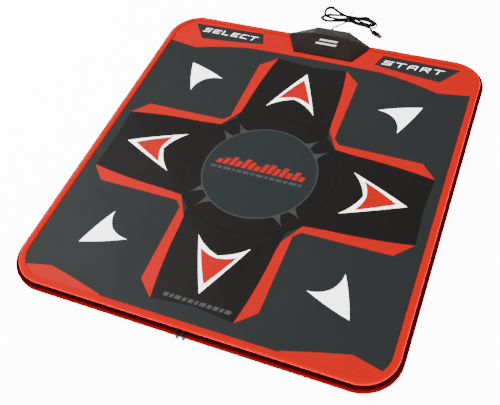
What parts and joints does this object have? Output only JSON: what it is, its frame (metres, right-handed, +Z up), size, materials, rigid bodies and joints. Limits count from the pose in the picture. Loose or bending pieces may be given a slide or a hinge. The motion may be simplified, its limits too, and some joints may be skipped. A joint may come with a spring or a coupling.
{
  "type": "dance rhythm machine pad",
  "caption": "Padded rectangular dance mat with printed arrow zones that press in, a wedge control box on its rear edge and a coiled lead with a flat plug.",
  "frame": {"origin": "on the floor under the middle of the mat and its control box, the loose lead left out", "axes": "+Y towards the control box along the mat's length, +X to the dancer's right when facing the box, +Z up"},
  "size_m": [0.86, 1.0867, 0.0445],
  "materials": {
    "cover_vinyl": "printed, embossed vinyl, satin",
    "zone_vinyl": "printed, embossed vinyl, satin",
    "rim_vinyl": "smooth vinyl binding, satin",
    "band_vinyl": "smooth vinyl, satin",
    "underside_fabric": "woven fabric with rubber dots",
    "foam": "closed-cell foam",
    "sponge": "open-cell sponge",
    "film": "printed polyester film",
    "contact_ink": "carbon ink on film",
    "zip_tape": "woven tape",
    "zip_teeth": "moulded coil",
    "zip_metal": "black enamel",
    "pull_cord": "moulded",
    "bead": "polished",
    "box_plastic": "fine spark-eroded texture",
    "steel": "zinc plated",
    "board": "solder resist",
    "chip": "moulded resin",
    "connector": "moulded nylon",
    "cord_pvc": "satin PVC",
    "tie_plastic": "coated wire",
    "plug_plastic": "moulded PVC",
    "plug_steel": "nickel plated"
  },
  "bodies": {
    "mat": {"base_sheet": "underside_fabric", "side_band": "band_vinyl", "rim_binding": "rim_vinyl", "foam_front_left": "foam", "foam_front_right": "foam", "foam_back_left": "foam", "foam_back_right": "foam", "lower_film": "film", "spacer_sponge": "sponge", "upper_film": "film", "film_tail": "film", "top_cover": "cover_vinyl", "zip_tape_lower": "zip_tape", "zip_tape_upper": "zip_tape", "zip_teeth_lower": "zip_teeth", "zip_teeth_upper": "zip_teeth", "zip_end_stops": "zip_teeth", "box_base": "box_plastic", "box_shell": "box_plastic", "clamp_plate": "box_plastic", "box_screws": "steel", "circuit_board": "board", "controller_chip": "chip", "tail_connector": "connector", "lead_connector": "connector", "inner_lead": "cord_pvc", "strain_relief": "cord_pvc", "usb_cord": "cord_pvc", "cord_hank": "cord_pvc", "hank_tie": "tie_plastic", "usb_plug_body": "plug_plastic", "usb_plug_shell": "plug_steel"},
    "zone_up": {"panel_up": "zone_vinyl", "contact_up": "contact_ink"},
    "zone_down": {"panel_down": "zone_vinyl", "contact_down": "contact_ink"},
    "zone_left": {"panel_left": "zone_vinyl", "contact_left": "contact_ink"},
    "zone_right": {"panel_right": "zone_vinyl", "contact_right": "contact_ink"},
    "zone_up_left": {"panel_up_left": "zone_vinyl", "contact_up_left": "contact_ink"},
    "zone_up_right": {"panel_up_right": "zone_vinyl", "contact_up_right": "contact_ink"},
    "zone_down_left": {"panel_down_left": "zone_vinyl", "contact_down_left": "contact_ink"},
    "zone_down_right": {"panel_down_right": "zone_vinyl", "contact_down_right": "contact_ink"},
    "zone_select": {"panel_select": "zone_vinyl", "contact_select": "contact_ink"},
    "zone_start": {"panel_start": "zone_vinyl", "contact_start": "contact_ink"},
    "zip_left": {"zip_slider_left": "zip_metal"},
    "pull_left": {"zip_pull_left": "pull_cord", "zip_bead_left": "bead"},
    "zip_right": {"zip_slider_right": "zip_metal"},
    "pull_right": {"zip_pull_right": "pull_cord", "zip_bead_right": "bead"}
  },
  "joints": [
    {"name": "press_up", "type": "slide", "parent": "mat", "child": "zone_up", "axis": [0, 0, -1], "range_m": [0, 0.0028], "stiffness_N_per_m": 5000},
    {"name": "press_down", "type": "slide", "parent": "mat", "child": "zone_down", "axis": [0, 0, -1], "range_m": [0, 0.0028], "stiffness_N_per_m": 5000},
    {"name": "press_left", "type": "slide", "parent": "mat", "child": "zone_left", "axis": [0, 0, -1], "range_m": [0, 0.0028], "stiffness_N_per_m": 5000},
    {"name": "press_right", "type": "slide", "parent": "mat", "child": "zone_right", "axis": [0, 0, -1], "range_m": [0, 0.0028], "stiffness_N_per_m": 5000},
    {"name": "press_up_left", "type": "slide", "parent": "mat", "child": "zone_up_left", "axis": [0, 0, -1], "range_m": [0, 0.0028], "stiffness_N_per_m": 5000},
    {"name": "press_up_right", "type": "slide", "parent": "mat", "child": "zone_up_right", "axis": [0, 0, -1], "range_m": [0, 0.0028], "stiffness_N_per_m": 5000},
    {"name": "press_down_left", "type": "slide", "parent": "mat", "child": "zone_down_left", "axis": [0, 0, -1], "range_m": [0, 0.0028], "stiffness_N_per_m": 5000},
    {"name": "press_down_right", "type": "slide", "parent": "mat", "child": "zone_down_right", "axis": [0, 0, -1], "range_m": [0, 0.0028], "stiffness_N_per_m": 5000},
    {"name": "press_select", "type": "slide", "parent": "mat", "child": "zone_select", "axis": [0, 0, -1], "range_m": [0, 0.0028], "stiffness_N_per_m": 5000},
    {"name": "press_start", "type": "slide", "parent": "mat", "child": "zone_start", "axis": [0, 0, -1], "range_m": [0, 0.0028], "stiffness_N_per_m": 5000},
    {"name": "zip_left_slide", "type": "slide", "parent": "mat", "child": "zip_left", "axis": [-1, 0, 0], "range_m": [0, 0.333]},
    {"name": "pull_left_swing", "type": "hinge", "parent": "zip_left", "child": "pull_left", "pos_m": [-0.007, -0.47595, 0.0186], "axis": [-1, 0, 0], "range_deg": [0, 90]},
    {"name": "zip_right_slide", "type": "slide", "parent": "mat", "child": "zip_right", "axis": [1, 0, 0], "range_m": [0, 0.333]},
    {"name": "pull_right_swing", "type": "hinge", "parent": "zip_right", "child": "pull_right", "pos_m": [0.007, -0.47595, 0.0186], "axis": [-1, 0, 0], "range_deg": [0, 90]}
  ]
}
